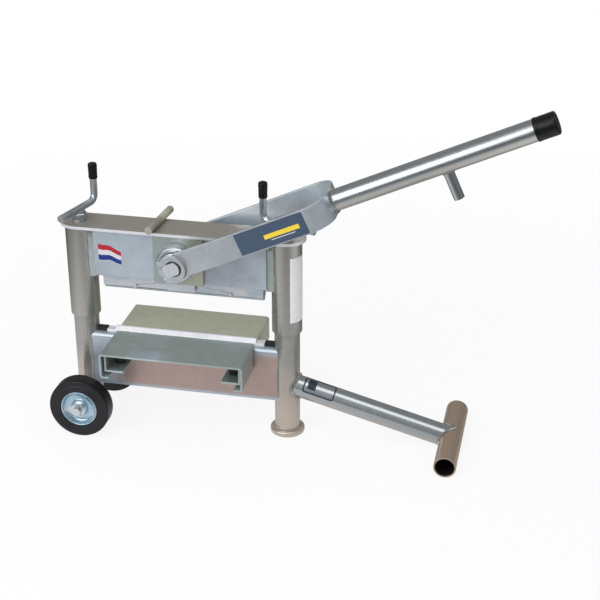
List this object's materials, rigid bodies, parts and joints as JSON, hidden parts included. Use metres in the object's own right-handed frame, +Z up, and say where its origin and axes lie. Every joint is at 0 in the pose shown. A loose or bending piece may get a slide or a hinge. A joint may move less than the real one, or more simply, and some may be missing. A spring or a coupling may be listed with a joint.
{
  "type": "masonry block splitter",
  "caption": "Hand-lever masonry block splitter: wheeled tubular stand with sheet tables, crank-raised head and a long forked lever that presses a knife down onto the stone.",
  "frame": {"origin": "on the floor under the middle of the bounding box", "axes": "+X along the knife towards the lever's free end, +Y from the front table to the rear table, +Z up"},
  "size_m": [0.9744, 0.2512, 0.7142],
  "materials": {
    "zinc_plate": "zinc plated sheet and flat bar, satin with soft cloudy streaks",
    "zinc_tube": "zinc plated drawn tube, smooth and half bright",
    "zinc_bar": "zinc plated round bar and fasteners",
    "tool_steel": "machined steel, fine grain along the edge",
    "bronze": "turned bearing bronze",
    "buffer_rubber": "black rubber, matt",
    "wheel_rubber": "solid black tyre, matt with moulded ribs",
    "wheel_zinc": "pressed and zinc plated wheel disc",
    "black_plastic": "black moulded plastic, fine grain"
  },
  "bodies": {
    "stand": {"post_left": "zinc_tube", "post_right": "zinc_tube", "foot_disc": "zinc_plate", "cross_beam": "zinc_plate", "support_tube": "zinc_tube", "tee_bar": "zinc_tube", "axle": "zinc_bar", "axle_spacers": "zinc_tube", "axle_washers": "zinc_bar", "cotter_pins": "zinc_bar", "table_front": "zinc_plate", "table_rear": "zinc_plate", "table_brackets": "zinc_plate", "table_mounts": "buffer_rubber", "table_bolts": "zinc_bar", "lower_knife": "tool_steel", "sleeve_buffers": "buffer_rubber", "spindle_nuts": "bronze"},
    "head": {"top_plate": "zinc_plate", "sleeve_left": "zinc_tube", "sleeve_right": "zinc_tube", "side_plate_front": "zinc_plate", "side_plate_rear": "zinc_plate", "end_plate_left": "zinc_plate", "end_plate_right": "zinc_plate", "bearing_plate_front": "zinc_plate", "bearing_plate_rear": "zinc_plate", "bearing_boss_front": "zinc_bar", "bearing_boss_rear": "zinc_bar", "bush_front": "bronze", "bush_rear": "bronze", "ram_guide_left": "zinc_plate", "ram_guide_right": "zinc_plate", "lever_stop": "zinc_bar"},
    "crank_left": {"spindle_left": "zinc_bar", "collar_left": "zinc_bar", "crank_rod_left": "zinc_bar", "crank_grip_left": "black_plastic"},
    "crank_right": {"spindle_right": "zinc_bar", "collar_right": "zinc_bar", "crank_rod_right": "zinc_bar", "crank_grip_right": "black_plastic"},
    "lever": {"eccentric_shaft": "tool_steel", "yoke": "zinc_plate", "yoke_jaws": "zinc_plate", "lever_tube": "zinc_tube", "lever_cap": "black_plastic", "lever_peg": "zinc_bar"},
    "ram": {"ram": "tool_steel", "ram_cheeks": "zinc_plate", "rock_pin": "zinc_bar"},
    "knife": {"knife_holder": "tool_steel", "upper_knife": "tool_steel", "knife_bolts": "zinc_bar"},
    "wheel_front": {"tyre_front": "wheel_rubber", "rim_front": "wheel_zinc"},
    "wheel_rear": {"tyre_rear": "wheel_rubber", "rim_rear": "wheel_zinc"}
  },
  "joints": [
    {"name": "head_height", "type": "slide", "parent": "stand", "child": "head", "axis": [0, 0, 1], "range_m": [-0.0301, 0.0501]},
    {"name": "crank_left_turn", "type": "hinge", "parent": "head", "child": "crank_left", "pos_m": [-0.43671, 0, 0.4537], "axis": [0, 0, 1], "range_deg": [-2700, 4500]},
    {"name": "crank_right_turn", "type": "hinge", "parent": "head", "child": "crank_right", "pos_m": [-0.01641, 0, 0.4537], "axis": [0, 0, 1], "range_deg": [-2701, 4501]},
    {"name": "lever_swing", "type": "hinge", "parent": "head", "child": "lever", "pos_m": [-0.22656, 0, 0.376], "axis": [0, -1, 0], "range_deg": [-45, 74]},
    {"name": "ram_press", "type": "slide", "parent": "head", "child": "ram", "axis": [0, 0, 1], "range_m": [-0.0054, 0.0088]},
    {"name": "knife_rock", "type": "hinge", "parent": "ram", "child": "knife", "pos_m": [-0.22656, 0, 0.3115], "axis": [0, 1, 0], "range_deg": [-2, 2]},
    {"name": "wheel_front_spin", "type": "hinge", "parent": "stand", "child": "wheel_front", "pos_m": [-0.42471, -0.095, 0.0625], "axis": [0, 1, 0], "continuous": true},
    {"name": "wheel_rear_spin", "type": "hinge", "parent": "stand", "child": "wheel_rear", "pos_m": [-0.42471, 0.095, 0.0625], "axis": [0, 1, 0], "continuous": true}
  ],
  "couplings": [
    {"joint": "head_height", "follows": "crank_left_turn", "m_per_rad": 0.00063662},
    {"joint": "crank_right_turn", "follows": "crank_left_turn", "ratio": 1},
    {"joint": "ram_press", "follows": "lever_swing", "m_per_rad": 0.0066377}
  ]
}
